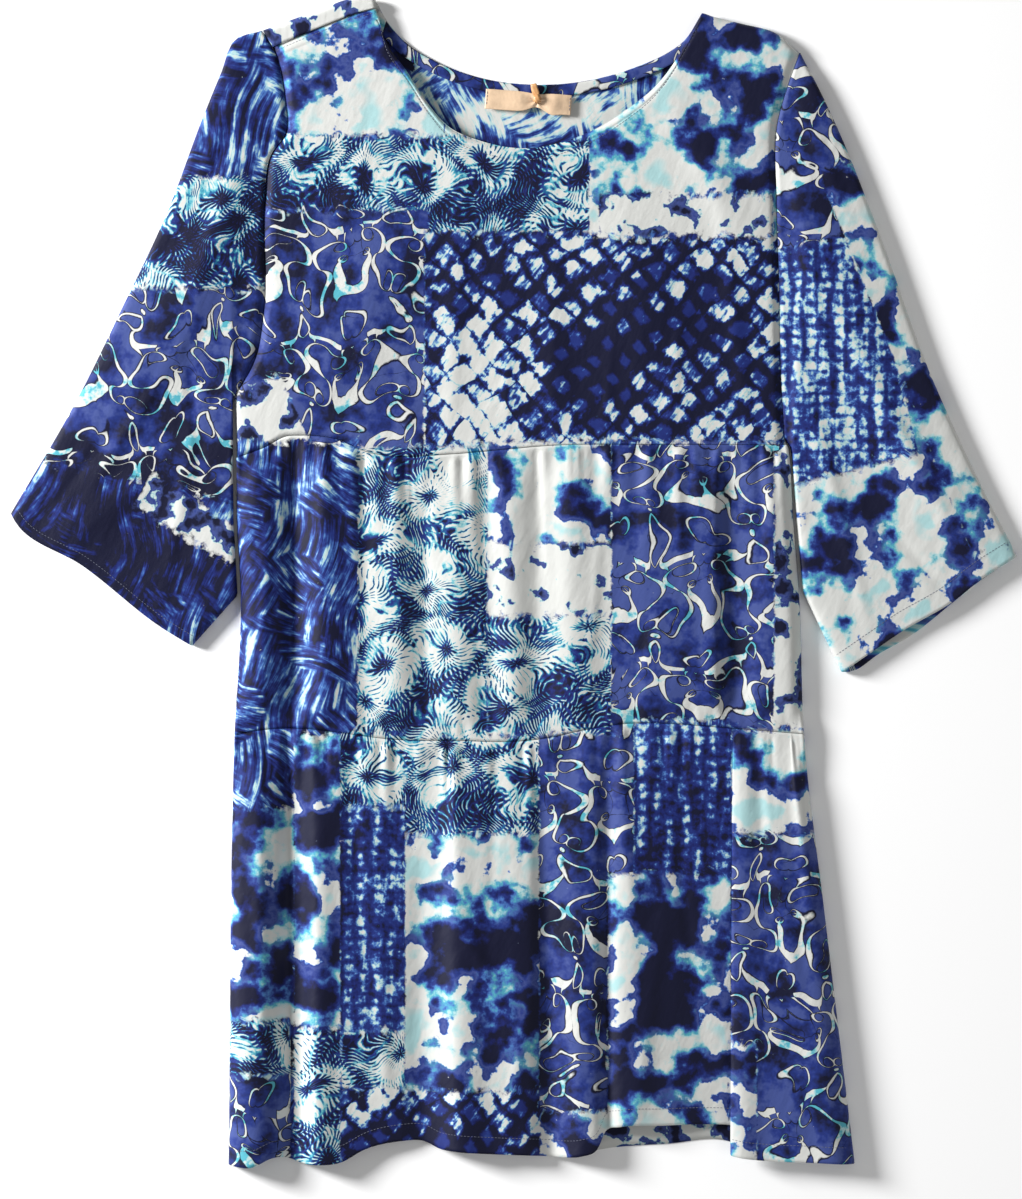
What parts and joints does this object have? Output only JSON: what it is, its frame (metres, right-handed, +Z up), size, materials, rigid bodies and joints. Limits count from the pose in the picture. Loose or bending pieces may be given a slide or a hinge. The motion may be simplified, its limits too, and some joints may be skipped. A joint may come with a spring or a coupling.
{
  "type": "tiered swing top",
  "caption": "Loose round-neck top with half-length flared sleeves and gathered tiers below the bodice, laid flat on its back.",
  "frame": {"origin": "centre of the bounding box's underside, on the surface that the garment lies on", "axes": "+Y towards the neck, +Z up out of the front of the garment, +X to the viewer's right as seen from above, the wearer's left"},
  "size_m": [0.756, 0.8762, 0.0182],
  "materials": {
    "printed_cloth": "soft woven viscose, printed in navy, royal blue, turquoise and off-white, slight sheen",
    "facing_cloth": "bias strip of the same printed viscose",
    "satin_ribbon": "champagne gold satin ribbon"
  },
  "bodies": {
    "root": {"front_bodice": "printed_cloth", "back_bodice": "printed_cloth", "front_middle_tier": "printed_cloth", "back_middle_tier": "printed_cloth", "front_bottom_tier": "printed_cloth", "back_bottom_tier": "printed_cloth", "left_sleeve": "printed_cloth", "right_sleeve": "printed_cloth", "back_neck_facing": "facing_cloth", "neck_label": "satin_ribbon", "label_loop": "satin_ribbon"}
  },
  "joints": []
}
